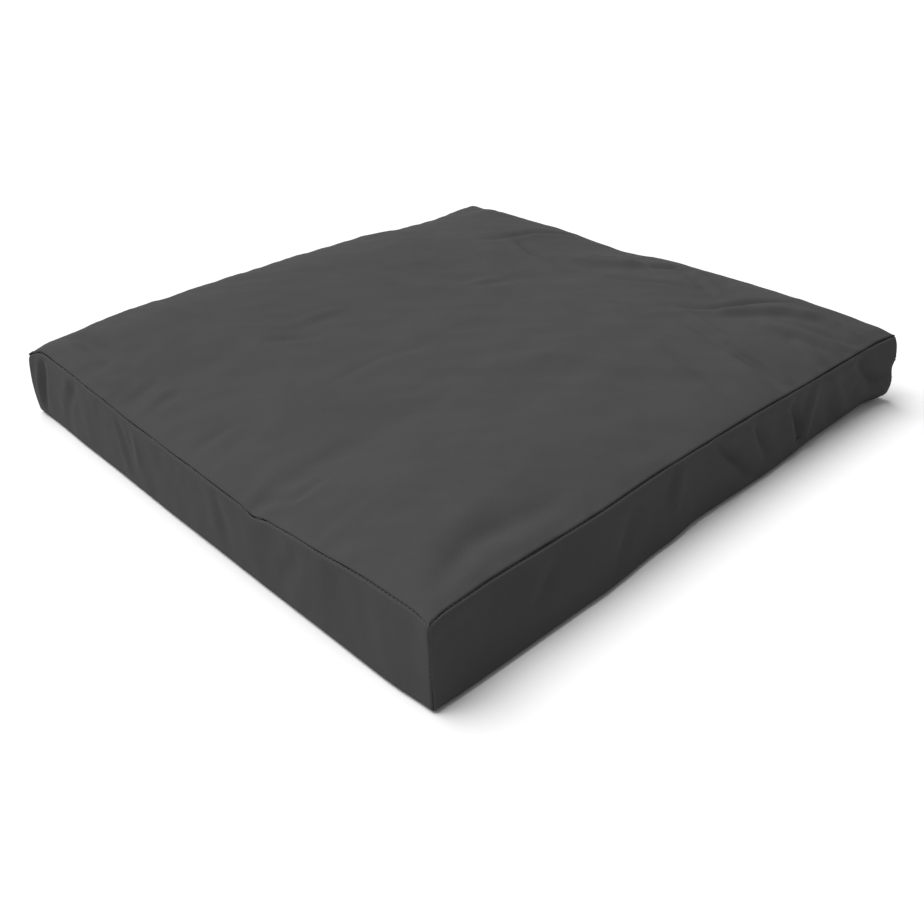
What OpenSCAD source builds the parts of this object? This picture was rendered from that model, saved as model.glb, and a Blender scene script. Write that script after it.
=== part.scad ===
// Square kneeling pad: a sewn, boxed cloth cover with a zip along its rear border,
// over a foam block with polyester wadding above and below it.
// Millimetres. +Z is up, -Y is the front, and the zip is on the +Y side.
// The origin is the centre of the bottom panel's resting face.

/* [Pad] */
// Width of the pad, seam to seam
pad_w = 450; // [320:10:700]
// Depth of the pad, seam to seam
pad_d = 450; // [320:10:700]
// Height of the border, from the resting face to the top seam
border_h = 50; // [44:1:90]
// Rise of the top panel above its seam
crown_h = 14; // [4:1:30]
// Distance from the seam over which the top panel rises
crown_run = 105; // [40:1:140]
// Radius of the cover's corners in plan
corner_r = 6; // [5:0.5:16]

/* [Cloth and thread] */
// Thickness of the cover cloth
cloth_t = 0.8; // [0.4:0.1:1.2]
// Depth of the turned-in edges at the top and bottom seams
seam_allowance = 10; // [6:0.5:11]
// Depth of the turned-in edges at the corner seams
corner_allowance = 7; // [4:0.5:8]
// Thickness of the sewing thread
thread_d = 0.5; // [0.3:0.1:0.8]

/* [Filling] */
// Thickness of the wadding under the foam
wadding_under = 4; // [2:0.5:6]
// Thickness of the wadding over the foam, at the level of the top seam
wadding_over = 4.4; // [2:0.2:8]
// Room between the filling and the outside of the border
filling_gap = 6; // [5.5:0.5:10]

/* [Zip] */
// Length of the plain panel at each end of the zip
end_panel_l = 30; // [24:1:60]
// Room between the slider and each folded edge of the zip panel
slot_room = 0.6; // [0.3:0.1:2]
// Depth of the zip panel's folded edges
zip_fold = 9; // [6:0.5:10]
// Width of each zip tape
tape_w = 14; // [11:0.5:15]
// Thickness of each zip tape
tape_t = 0.4; // [0.3:0.05:0.45]
// Width of the closed coil chain
chain_w = 6.2; // [4.4:0.1:7]
// Thickness of the coil
coil_t = 2.2; // [1.6:0.1:2.6]
// Length of the slider
slider_l = 12; // [10:0.5:14]
// Length of the puller's tab beyond its eye
puller_l = 22; // [12:1:34]
// Pitch of the stitches along the zip
stitch_pitch = 4; // [3:0.5:6]

/* [Care label] */
// Width of the care label
label_w = 20; // [14:1:24]
// Height of the care label
label_h = 30; // [16:1:34]
// Thickness of the care label
label_t = 0.3; // [0.2:0.1:0.6]
// Distance from the rear left corner to the label's middle
label_from_corner = 60; // [30:5:120]

/* [Hidden] */

cover_grey = "#4b4b4c";
thread_grey = "#3a3a3b";
tape_grey = "#333334";
coil_black = "#1e1e1f";
metal_black = "#2b2b2d";
foam_cream = "#e6dfc8";
wadding_white = "#f3f3ef";
label_white = "#e9e8e4";

corner_steps = 6;         // straight pieces in each rounded corner of the cover
crown_rings = 9;          // rings that make up the top panel's rise
crown_power = 5;          // how early the top panel rises: 1 is a plain slope
fit_gap = 0.2;            // clearance between the slider and what runs through it
press_gap = 0.3;          // clearance between the filling and the cover's underside
thread_gap = thread_d;                               // the thread fills the gap between two allowances
top_z = border_h - cloth_t;                          // underside of the top panel's rim
allowance_in = 2 * cloth_t + thread_gap;             // inset of the panels' own allowances
wadding_z = cloth_t;                                 // the bottom wadding lies on the bottom panel
foam_z = wadding_z + wadding_under;
foam_top_z = top_z - wadding_over;
foam_t = foam_top_z - foam_z;

zip_l = pad_w - 2 * end_panel_l;                     // length of the zip panel
zip_z = border_h / 2;                                // height of the zip's centreline
face_y = pad_d / 2;                                  // outside of the rear border
tape_out_y = face_y - 2 * cloth_t;                   // the side of the tapes that the coil is sewn to
tape_in_y = tape_out_y - tape_t;
coil_out_y = tape_out_y + coil_t;
coil_half_w = chain_w / 2;
coil_part = 0.05;                                    // half the gap between the two coils
tape_edge = 0.3;                                     // half the gap between the two tapes
tape_tuck = 8;                                       // how far a tape runs behind each end panel

slider_plate_t = 0.9;
slider_flange_t = 0.9;
slider_w = chain_w + 2 * fit_gap + 2 * slider_flange_t;
zip_slot = slider_w + 2 * slot_room;                 // between the zip panel's folded edges
slider_tail_w = slider_w - 1.6;                      // the slider narrows towards its closed end
wedge_l = 3.4;                                       // the wedge that parts the chain
wedge_w = 2.4;
slider_front_x = zip_l / 2 - 4;                      // the slider's mouth when the zip is closed
slider_back_x = slider_front_x - slider_l;
wedge_back_x = slider_front_x - wedge_l - 0.8;
coil_end_x = wedge_back_x - 0.3;
stop_l = 1.8;
stop_w = 2.6;
stop_x = slider_front_x + 0.3;
stop_edge = 0.8;                                     // a stop's overhang on each side of its tape
slider_plate_y = coil_out_y + fit_gap;               // inside of the slider's outer plate
slider_face_y = slider_plate_y + slider_plate_t;

pivot_r = 0.55;                                      // radius of the puller's crossbar
bridge_w = 1.8;
bridge_t = 1.0;
bridge_l = 7;
bridge_leg = 1.4;
pivot_room = 0.25;                                   // play of the crossbar under the bridge
pivot_x = slider_front_x - slider_l / 2;
pivot_y = slider_face_y + pivot_room + pivot_r;
bridge_in_y = pivot_y + pivot_r + pivot_room;
arm_in = bridge_w / 2 + 0.5;                         // an arm's inner side, from the puller's centreline
arm_w = 1.3;
puller_w = 2 * (arm_in + arm_w);
puller_t = 2 * pivot_r;
eye_l = 4.6;                                         // from the crossbar to the solid tab
hang_hole_r = 1.1;

// Corner points of a rounded rectangle, counter-clockwise from the +X side
function rounded_points(w, d, r) = [
    for (corner = [0:3])
        for (k = [0:corner_steps])
            let (
                a = 90 * corner + 90 * k / corner_steps,
                cx = (corner == 0 || corner == 3 ? 1 : -1) * (w / 2 - r),
                cy = (corner < 2 ? 1 : -1) * (d / 2 - r)
            )
            [cx + r * cos(a), cy + r * sin(a)]
];

// The cover's outline, moved in by inset with its corners kept concentric
function outline(inset) =
    rounded_points(pad_w - 2 * inset, pad_d - 2 * inset, max(corner_r - inset, 0.4));

// A level line of the crown: its corners open out towards the middle
function crown_line(inset) =
    rounded_points(pad_w - 2 * inset, pad_d - 2 * inset, corner_r + 0.45 * inset);

function crown_rise(inset) =
    crown_h * (1 - pow(1 - min(1, inset / crown_run), crown_power));

// The filling rises from the panel's allowance and so stays under the panel all over
function filling_rise(inset) =
    let (first = allowance_in + cloth_t)
    crown_h * (1 - pow(1 - min(1, (inset - first) / (crown_run - first)), crown_power));

function ring_inset(k, first) = first + (crown_run - first) * pow(k / crown_rings, 1.5);

function at_height(points, z) = [for (p = points) [p[0], p[1], z]];

// A closed solid through a list of rings with equal counts of points, first ring to last
module lofted(rings) {
    n = len(rings[0]);
    last = (len(rings) - 1) * n;
    polyhedron(
        points = [for (ring = rings) for (p = ring) p],
        faces = concat(
            [[for (i = [0:n - 1]) i]],
            [
                for (k = [0:len(rings) - 2])
                    for (i = [0:n - 1])
                        let (j = (i + 1) % n)
                        [k * n + j, k * n + i, (k + 1) * n + i, (k + 1) * n + j]
            ],
            [[for (i = [n - 1:-1:0]) last + i]]
        )
    );
}

// A flat plate of the cover's outline
module cover_plate(inset, z, h) {
    translate([0, 0, z])
        linear_extrude(height = h)
            polygon(outline(inset));
}

// An upright wall that follows the cover's outline
module cover_wall(inset, t, z, h) {
    translate([0, 0, z])
        linear_extrude(height = h)
            difference() {
                polygon(outline(inset));
                polygon(outline(inset + t));
            }
}

// The part of the cover's edge that lies on one side: 0 front, 1 right, 2 rear, 3 left
module side_zone(side) {
    along = (side % 2 == 0 ? pad_w : pad_d) / 2;
    out = (side % 2 == 0 ? pad_d : pad_w) / 2;
    depth = corner_r + corner_allowance + filling_gap;
    rotate([0, 0, 90 * side])
        linear_extrude(height = border_h)
            polygon([
                [-along - 1, -out - 1], [along + 1, -out - 1],
                [along - depth, -out + depth], [-along + depth, -out + depth]
            ]);
}

// The turned-in edge of a strip at one of its corner seams; end is 1 or -1
module corner_flange(side, end) {
    along = (side % 2 == 0 ? pad_w : pad_d) / 2 - corner_r;
    out = (side % 2 == 0 ? pad_d : pad_w) / 2 - corner_r;
    z = cloth_t + seam_allowance + 1;
    rotate([0, 0, 90 * side])
        translate([end * along, -out, z])
            mirror([end < 0 ? 1 : 0, 0, 0])
                rotate([0, 0, 135])
                    translate([-corner_r + cloth_t / 2, thread_gap / 2, 0])
                        cube([corner_allowance, cloth_t, border_h - 2 * z]);
}

// A border strip: its outer layer and its turned-in top and bottom edges
module border_layers(bottom_z, height) {
    cover_wall(0, cloth_t, bottom_z, height);
}

module border_hem(z) {
    cover_wall(cloth_t / 2, 1.5 * cloth_t, z, seam_allowance);
}

module plain_border(side) {
    color(cover_grey)
        union() {
            intersection() {
                union() {
                    border_layers(cloth_t, top_z - cloth_t);
                    border_hem(cloth_t);
                    border_hem(top_z - seam_allowance);
                }
                side_zone(side);
            }
            corner_flange(side, 1);
            corner_flange(side, -1);
        }
}

module front_border() plain_border(0);
module right_border() plain_border(1);
module left_border() plain_border(3);

// The length of the rear border that the zip panel takes
module zip_span(z, h) {
    translate([-zip_l / 2, face_y - filling_gap, z])
        cube([zip_l, filling_gap + 1, h]);
}

// A plain piece at one end of the rear border; end is 1 or -1
module rear_end_panel(end) {
    color(cover_grey)
        union() {
            intersection() {
                union() {
                    border_layers(cloth_t, top_z - cloth_t);
                    border_hem(cloth_t);
                    border_hem(top_z - seam_allowance);
                }
                side_zone(2);
                translate([end > 0 ? zip_l / 2 : -zip_l / 2 - pad_w, 0, 0])
                    cube([pad_w, pad_d, border_h]);
            }
            corner_flange(2, -end);
        }
}

module rear_end_panel_right() rear_end_panel(1);
module rear_end_panel_left() rear_end_panel(-1);

// One half of the zip panel, between z and z + h, with its edge turned in at fold_z
module zip_panel_half(z, h, hem_z, fold_z) {
    color(cover_grey)
        intersection() {
            union() {
                border_layers(z, h);
                border_hem(hem_z);
                cover_wall(cloth_t / 2, 1.5 * cloth_t, fold_z, zip_fold);
            }
            zip_span(z, h);
        }
}

module rear_border_upper() {
    z = zip_z + zip_slot / 2;
    zip_panel_half(z, top_z - z, top_z - seam_allowance, z);
}

module rear_border_lower() {
    edge = zip_z - zip_slot / 2;
    zip_panel_half(cloth_t, edge - cloth_t, cloth_t, edge - zip_fold);
}

module top_panel() {
    first = allowance_in + cloth_t;
    low_z = top_z - seam_allowance;
    color(cover_grey)
        lofted(concat(
            [
                for (k = [crown_rings:-1:0])
                    let (i = ring_inset(k, 0))
                    at_height(crown_line(i), border_h + crown_rise(i))
            ],
            [
                at_height(outline(0), top_z),
                at_height(outline(allowance_in), top_z),
                at_height(outline(allowance_in), low_z),
                at_height(outline(first), low_z),
                at_height(outline(first), top_z)
            ],
            [
                for (k = [1:crown_rings])
                    let (i = ring_inset(k, first))
                    at_height(crown_line(i), top_z + crown_rise(i))
            ]
        ));
}

module bottom_panel() {
    color(cover_grey)
        union() {
            cover_plate(0, 0, cloth_t);
            cover_wall(allowance_in, cloth_t, cloth_t / 2, seam_allowance + cloth_t / 2);
        }
}

// The lockstitch that joins a panel to the border strips, as one square-section loop
module seam_thread(z) {
    color(thread_grey)
        cover_wall(2 * cloth_t, thread_d, z, thread_d);
}

module top_seam_thread() seam_thread(top_z - 2 * thread_d);
module bottom_seam_thread() seam_thread(cloth_t + thread_d);

module corner_seam_threads() {
    z = cloth_t + seam_allowance + 1;
    inset = corner_r - cloth_t - thread_d;
    color(thread_grey)
        for (sx = [-1, 1], sy = [-1, 1])
            translate([sx * (pad_w / 2 - corner_r), sy * (pad_d / 2 - corner_r), z])
                rotate([0, 0, atan2(sy, sx)])
                    translate([inset, 0, 0])
                        cylinder(d = thread_d, h = border_h - 2 * z, $fn = 24);
}

// One zip tape, above the chain; its edge turns away where the slider's wedge parts it
module zip_tape() {
    end_x = zip_l / 2 + tape_tuck;
    parted = wedge_w / 2 + fit_gap + 0.2;
    color(tape_grey)
        translate([0, tape_out_y, zip_z])
            rotate([90, 0, 0])
                linear_extrude(height = tape_t)
                    polygon([
                        [-end_x, tape_edge], [coil_end_x - 1, tape_edge],
                        [wedge_back_x - fit_gap, parted], [end_x, parted],
                        [end_x, tape_w], [-end_x, tape_w]
                    ]);
}

// A zip piece of the upper half, repeated below the centreline
module below_the_zip() {
    translate([0, 0, zip_z])
        mirror([0, 0, 1])
            translate([0, 0, -zip_z])
                children();
}

module zip_tape_upper() zip_tape();
module zip_tape_lower() below_the_zip() zip_tape();

// One coil of the chain, as the closed shape of its turns
module zip_coil() {
    start_x = -zip_l / 2 + 3;
    side = coil_half_w - coil_part;
    edge_r = coil_t / 2;
    color(coil_black)
        translate([start_x, tape_out_y, zip_z + coil_part])
            union() {
                cube([coil_end_x - start_x, coil_t, side - edge_r]);
                translate([0, edge_r, side - edge_r])
                    rotate([0, 90, 0])
                        cylinder(r = edge_r, h = coil_end_x - start_x, $fn = 32);
            }
}

module zip_coil_upper() zip_coil();
module zip_coil_lower() below_the_zip() zip_coil();

// The clips that keep the slider from running off the closed end, one on each tape
module top_stop() {
    z = zip_z + wedge_w / 2 + fit_gap + 0.2 - stop_edge;
    difference() {
        translate([stop_x, tape_in_y - stop_edge, z])
            cube([stop_l, tape_t + stop_edge + coil_t, stop_w]);
        translate([stop_x - 1, tape_in_y, z + stop_edge])
            cube([stop_l + 2, tape_t, stop_w]);
    }
}

module zip_top_stops() {
    color(metal_black) {
        top_stop();
        below_the_zip() top_stop();
    }
}

// The clip across both tapes at the open end
module zip_bottom_stop() {
    back_x = -zip_l / 2 + 0.4;
    color(metal_black)
        difference() {
            translate([back_x, tape_in_y - stop_edge, zip_z - coil_half_w])
                cube([stop_l, tape_t + stop_edge + coil_t, chain_w]);
            for (side = [-1, 1])
                translate([back_x - 1, tape_in_y, zip_z + (side > 0 ? tape_edge : -tape_edge - chain_w)])
                    cube([stop_l + 2, tape_t, chain_w]);
        }
}

// The slider's outline seen from outside: a shield, widest at its mouth
module slider_outline(front_w, back_w) {
    nose = 2;
    polygon([
        [slider_back_x, -back_w / 2], [slider_front_x - nose - 2, -front_w / 2],
        [slider_front_x - nose, -front_w / 2], [slider_front_x, -front_w / 4],
        [slider_front_x, front_w / 4], [slider_front_x - nose, front_w / 2],
        [slider_front_x - nose - 2, front_w / 2], [slider_back_x, back_w / 2]
    ]);
}

// A plate across the zip, from y outwards by t
module across_zip(y, t) {
    translate([0, y + t, zip_z])
        rotate([90, 0, 0])
            linear_extrude(height = t)
                children();
}

module slider_bridge() {
    foot_y = slider_face_y - slider_plate_t / 2;
    translate([pivot_x - bridge_l / 2, foot_y, zip_z - bridge_w / 2])
        difference() {
            cube([bridge_l, bridge_in_y - foot_y + bridge_t, bridge_w]);
            translate([bridge_leg, slider_plate_t / 2, -1])
                cube([bridge_l - 2 * bridge_leg, bridge_in_y - slider_face_y, bridge_w + 2]);
        }
}

module zip_slider() {
    inner_y = tape_in_y - fit_gap - slider_plate_t;
    flange_y = tape_out_y + fit_gap;
    chain_room = chain_w + 2 * fit_gap;
    color(metal_black)
        union() {
            across_zip(slider_plate_y, slider_plate_t)
                slider_outline(slider_w, slider_tail_w);
            across_zip(inner_y, slider_plate_t)
                slider_outline(slider_w, slider_tail_w);
            across_zip(flange_y, slider_plate_y - flange_y + slider_plate_t / 2)
                difference() {
                    slider_outline(slider_w, slider_w);
                    square([4 * zip_l, chain_room], center = true);
                }
            across_zip(inner_y + slider_plate_t / 2, slider_plate_y - inner_y)
                polygon([
                    [wedge_back_x, 0], [slider_front_x - wedge_l / 2, -wedge_w / 2],
                    [slider_front_x - 0.4, -wedge_w / 2], [slider_front_x - 0.4, wedge_w / 2],
                    [slider_front_x - wedge_l / 2, wedge_w / 2]
                ]);
            slider_bridge();
        }
}

module zip_puller() {
    tab_r = puller_w / 2;
    tab_end_x = pivot_x - eye_l - puller_l;
    color(metal_black)
        union() {
            translate([pivot_x, pivot_y, zip_z - puller_w / 2])
                cylinder(r = pivot_r, h = puller_w, $fn = 32);
            for (side = [-1, 1])
                translate([pivot_x - eye_l - 0.5, pivot_y - puller_t / 2, zip_z + side * (arm_in + arm_w / 2) - arm_w / 2])
                    cube([eye_l + 0.5, puller_t, arm_w]);
            difference() {
                union() {
                    translate([tab_end_x + tab_r, pivot_y - puller_t / 2, zip_z - puller_w / 2])
                        cube([puller_l - tab_r, puller_t, puller_w]);
                    translate([tab_end_x + tab_r, pivot_y + puller_t / 2, zip_z])
                        rotate([90, 0, 0])
                            cylinder(r = tab_r, h = puller_t, $fn = 48);
                }
                translate([tab_end_x + tab_r, pivot_y + puller_t, zip_z])
                    rotate([90, 0, 0])
                        cylinder(r = hang_hole_r, h = 2 * puller_t, $fn = 32);
            }
        }
}

// The row of stitches that holds a folded edge to its tape
module zip_stitches() {
    count = floor((zip_l - stitch_pitch) / stitch_pitch);
    stitch_l = 0.7 * stitch_pitch;
    stitch_t = 0.7 * thread_d;
    z = zip_z + zip_slot / 2 + 2.4;
    color(thread_grey)
        for (k = [0:count - 1])
            translate([(k - (count - 1) / 2) * stitch_pitch - stitch_l / 2, face_y, z])
                cube([stitch_l, stitch_t, stitch_t]);
}

module zip_stitches_upper() zip_stitches();
module zip_stitches_lower() below_the_zip() zip_stitches();

module foam_core() {
    color(foam_cream)
        translate([0, 0, foam_z])
            linear_extrude(height = foam_t)
                polygon(crown_line(filling_gap));
}

module wadding_top() {
    color(wadding_white)
        lofted(concat(
            [
                for (k = [crown_rings:-1:0])
                    let (i = ring_inset(k, filling_gap))
                    at_height(crown_line(i), top_z + filling_rise(i) - press_gap)
            ],
            [at_height(crown_line(filling_gap), foam_top_z)]
        ));
}

module wadding_bottom() {
    color(wadding_white)
        translate([0, 0, wadding_z])
            linear_extrude(height = wadding_under)
                polygon(crown_line(filling_gap));
}

module care_label() {
    middle_y = pad_d / 2 - label_from_corner;
    color(label_white)
        translate([-pad_w / 2 - label_t, middle_y - label_w / 2, top_z - label_h])
            cube([label_t, label_w, label_h]);
}

top_panel();
bottom_panel();
front_border();
right_border();
left_border();
rear_border_upper();
rear_border_lower();
rear_end_panel_right();
rear_end_panel_left();
top_seam_thread();
bottom_seam_thread();
corner_seam_threads();
zip_tape_upper();
zip_tape_lower();
zip_coil_upper();
zip_coil_lower();
zip_top_stops();
zip_bottom_stop();
zip_slider();
zip_puller();
zip_stitches_upper();
zip_stitches_lower();
foam_core();
wadding_top();
wadding_bottom();
care_label();
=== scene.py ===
import math

import bmesh
import bpy
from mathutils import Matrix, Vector, noise


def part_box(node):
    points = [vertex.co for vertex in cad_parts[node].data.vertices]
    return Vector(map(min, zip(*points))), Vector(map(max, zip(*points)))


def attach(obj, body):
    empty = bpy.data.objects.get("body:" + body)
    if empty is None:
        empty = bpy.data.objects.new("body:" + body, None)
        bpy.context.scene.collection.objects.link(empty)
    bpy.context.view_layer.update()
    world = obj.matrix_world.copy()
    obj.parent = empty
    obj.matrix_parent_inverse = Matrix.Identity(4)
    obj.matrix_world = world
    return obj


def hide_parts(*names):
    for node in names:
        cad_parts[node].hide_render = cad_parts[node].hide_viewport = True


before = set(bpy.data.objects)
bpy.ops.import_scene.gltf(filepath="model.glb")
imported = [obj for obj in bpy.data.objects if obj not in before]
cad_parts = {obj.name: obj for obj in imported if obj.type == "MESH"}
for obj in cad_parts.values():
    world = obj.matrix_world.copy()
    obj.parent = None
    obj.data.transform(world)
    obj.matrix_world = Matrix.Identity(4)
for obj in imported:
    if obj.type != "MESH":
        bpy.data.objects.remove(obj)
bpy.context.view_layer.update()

# ---------------------------------------------------------------------------------------
# The room: a wide white floor, a faint even sky and one broad soft lamp high on the front
# left. The camera stands off the pad's near corner and looks down on it.
# ---------------------------------------------------------------------------------------
camera_elevation = math.radians(28.45)
camera_azimuth = math.radians(45.97)
camera_roll = math.radians(-1.27)

bpy.ops.object.select_all(action="DESELECT")
bpy.ops.object.camera_add(
    location=(0.5607, -0.4928, 0.4077),
    rotation=(math.pi / 2 - camera_elevation, 0, camera_azimuth),
)
camera = bpy.context.object
camera.name = "camera"
camera.rotation_euler.rotate_axis("Z", camera_roll)
camera.data.lens = 43.8
camera.data.sensor_width = 36
camera.data.shift_x = -0.0498
camera.data.shift_y = -0.0671
camera.data.clip_start = 0.01
bpy.context.scene.camera = camera

bpy.ops.mesh.primitive_plane_add(size=60, location=(0, 0, -0.0003))
floor = bpy.context.object
floor.name = "floor"
floor_paint = bpy.data.materials.new("floor_paint")
floor_paint.use_nodes = True
floor_shader = floor_paint.node_tree.nodes["Principled BSDF"]
floor_shader.inputs["Base Color"].default_value = (0.75, 0.75, 0.75, 1)
floor_shader.inputs["Roughness"].default_value = 0.9
floor_shader.inputs["Specular IOR Level"].default_value = 0.1
floor.data.materials.append(floor_paint)

bpy.ops.object.light_add(type="SUN", rotation=(math.radians(11), math.radians(-23), 0))
lamp = bpy.context.object
lamp.name = "soft_lamp"
lamp.data.energy = 3.95
lamp.data.angle = math.radians(50)

sky = bpy.data.worlds.new("faint_sky")
sky.use_nodes = True
sky.node_tree.nodes["Background"].inputs["Color"].default_value = (1, 1, 1, 1)
seen = sky.node_tree.nodes.new("ShaderNodeLightPath")
sky_strength = sky.node_tree.nodes.new("ShaderNodeMapRange")
sky_strength.inputs["To Min"].default_value = 0.34
sky_strength.inputs["To Max"].default_value = 1.0
sky.node_tree.links.new(seen.outputs["Is Camera Ray"], sky_strength.inputs["Value"])
sky.node_tree.links.new(sky_strength.outputs["Result"], sky.node_tree.nodes["Background"].inputs["Strength"])
bpy.context.scene.world = sky
bpy.context.scene.view_settings.view_transform = "Standard"

# ---------------------------------------------------------------------------------------
# The cover's cloth as one closed skin: laid out as the box that the panels are cut for,
# drawn to its seams, crowned over the wadding and then filled out a little by a cloth solver.
# ---------------------------------------------------------------------------------------
mm = 0.001
cloth_t = 0.8 * mm
pad_low, pad_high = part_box("top_panel")
pad_w = pad_high.x - pad_low.x
pad_d = pad_high.y - pad_low.y
seam_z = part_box("front_border")[1].z + cloth_t
zip_z = seam_z / 2
# The solver and the creases add about this much to the crown.
swell = 1.5 * mm
crown_h = pad_high.z - seam_z - swell
crown_run = 105 * mm
steep_crown = 5
gentle_crown = 2.8
cells = 72
rows = 8
walls = ["front", "right", "rear", "left"]
outwards = [Vector((0, -1, 0)), Vector((1, 0, 0)), Vector((0, 1, 0)), Vector((-1, 0, 0))]
up = Vector((0, 0, 1))

# How each side's two seams run once the pad is sewn and filled: share of the side from its
# left end to its right end, seen from outside, then how far out and up in millimetres.
top_seam = {
    "front": [(0, 0, -3), (0.03, -3.5, 3), (0.12, -2, 3.5), (0.22, -1, 1.5), (0.36, 0, -1),
              (0.48, 1.5, -1), (0.64, 2.5, -2), (0.66, 3, -4.5), (0.68, 2.5, -2), (0.7, 2, -0.5),
              (0.77, 2, 2), (0.9, -1, 3), (0.97, -1.5, 3), (1, 0.5, 2.5)],
    "right": [(0, 0.5, 2.5), (0.03, -3, 2.5), (0.12, -6, 1), (0.28, -6, 0.5), (0.43, -8, 1),
              (0.6, -8, 1), (0.83, -6, 0.5), (0.97, -4, 1.5), (1, 1.5, 3.5)],
    "rear": [(0, 1, 3.5), (0.03, -1, 7), (0.1, -1, 8.5), (0.26, -1, 9), (0.44, -1, 7.5),
             (0.57, -1.5, 2.5), (0.74, -2, 5), (0.86, -2, 3.5), (0.97, -3, 1.5), (1, 0, 0)],
    "left": [(0, 0, 0), (0.03, -3, 0.5), (0.12, -3, -1.5), (0.34, -1, 6), (0.57, -1, 7.5),
             (0.75, -1, 5), (0.88, -2, 5), (0.97, -3, 4), (1, 3.5, -3)],
}
bottom_seam = {
    "front": [(0, 1, 0.5), (0.04, 1, 0.5), (0.2, 2.5, 0.5), (0.5, 4.5, 0.5), (0.75, 5.5, 0.5),
              (0.93, 6, 0.5), (1, 4, 0.5)],
    "right": [(0, 4, 0.5), (0.04, 5, 1), (0.28, 4, 1), (0.42, 0, 1), (0.5, -3, 1.5), (0.67, -2.5, 1),
              (0.83, -4.5, 3), (0.95, -4, 5), (1, 0.5, 3.5)],
    "rear": [(0, 0.5, 3.5), (0.06, -2, 2), (0.5, -1, 1), (0.94, -2, 1), (1, 0, 1)],
    "left": [(0, 0, 1), (0.06, -2, 1), (0.5, 1, 1), (0.94, -1, 0.5), (1, 2, 0.5)],
}
# The share of a side over which its corners pull at it.
corner_reach = 0.1
# How far each wall's right-hand corner bulges at half its height.
corner_bulge = [0.5, 5, 1, 1.5]
# How deep a fold pinches that corner, just below half its height.
corner_pinch = [0, 3.5, 0, 0]
pinch_level = 0.48
pinch_width = 0.11
# How far above and below the middle of the zip the rear border stays flat.
zip_flat = 10.5 * mm


def smooth(k):
    """Eases a share from 0 to 1."""
    k = min(1, max(0, k))
    return k * k * (3 - 2 * k)


def eased(points, share):
    """The value of a drawn line at a share of its length, eased between its points."""
    for (a, out_a, up_a), (b, out_b, up_b) in zip(points, points[1:]):
        if share <= b:
            k = smooth((share - a) / (b - a))
            return out_a + k * (out_b - out_a), up_a + k * (up_b - up_a)
    return points[-1][1], points[-1][2]


def border_offset(wall, share, level):
    """How far out and up a border has moved, at a level from 0, the floor, to 1, the top seam."""
    out_low, up_low = eased(bottom_seam[walls[wall]], share)
    out_high, up_high = eased(top_seam[walls[wall]], share)
    held = 1
    if walls[wall] == "rear":
        held = smooth((abs(level - 0.5) * seam_z - zip_flat) / (seam_z / 2 - zip_flat))
    out = out_low + level * (out_high - out_low)
    barrel = 4 * level * (1 - level)
    pinch = math.exp(-((level - pinch_level) / pinch_width) ** 2)
    near_left = smooth(1 - share / corner_reach)
    near_right = smooth(1 - (1 - share) / corner_reach)
    for corner, near in (wall, near_right), (wall - 1, near_left):
        out += near * (barrel * corner_bulge[corner] - pinch * corner_pinch[corner])
    return held * out, held * (up_low + level * (up_high - up_low))


def sewn_offset(wall, share, level):
    """The same as a vector, with the pull of the borders round the two corners."""
    out, lift = border_offset(wall, share, level)
    move = outwards[wall] * out + up * lift
    for other, end in ((wall - 1) % 4, 0), ((wall + 1) % 4, 1):
        near = smooth(1 - abs(share - end) / corner_reach)
        move += outwards[other] * border_offset(other, 1 - end, level)[0] * near
    return move * mm


def panel_offset(u, v, level):
    """The same inside the top or bottom panel, carried in from its seams to u, v from 0 to 1."""
    shares = [u, v, 1 - u, 1 - v]
    fade = [(1 - v) ** 3, u ** 3, v ** 3, (1 - u) ** 3]
    move = Vector((0, 0, 0))
    for wall in range(4):
        move += sewn_offset(wall, shares[wall], level) * fade[wall]
        move -= sewn_offset(wall, 0, level) * fade[wall] * fade[wall - 1]
    return move


def rise(distance, power):
    """The share of the crown's height at a distance in from one side."""
    return 1 - (1 - min(1, max(0, distance) / crown_run)) ** power


def crown(x, y):
    """The crown's height, which falls away more gently to the right and the front."""
    across = rise(pad_w / 2 - abs(x), gentle_crown if x > 0 else steep_crown)
    along = rise(pad_d / 2 - abs(y), gentle_crown if y < 0 else steep_crown)
    return crown_h * across * along


bpy.ops.object.select_all(action="DESELECT")
bpy.ops.mesh.primitive_grid_add(x_subdivisions=cells, y_subdivisions=cells, size=1)
bpy.ops.object.mode_set(mode="EDIT")
cover = bpy.context.object
cover.name = "cover_skin"
bpy.ops.transform.resize(value=(pad_w, pad_d, 1))
bpy.ops.transform.translate(value=(0, 0, seam_z))
bpy.ops.mesh.region_to_loop()
for row in range(rows):
    bpy.ops.mesh.extrude_region_move(TRANSFORM_OT_translate={"value": (0, 0, -seam_z / rows)})
bpy.ops.mesh.primitive_grid_add(x_subdivisions=cells, y_subdivisions=cells, size=1)
bpy.ops.transform.resize(value=(pad_w, pad_d, 1))
bpy.ops.mesh.select_all(action="SELECT")
edge = 0.01 * mm
bpy.ops.mesh.remove_doubles(threshold=edge)
bpy.ops.mesh.normals_make_consistent(inside=False)
bpy.ops.object.mode_set(mode="OBJECT")

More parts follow.
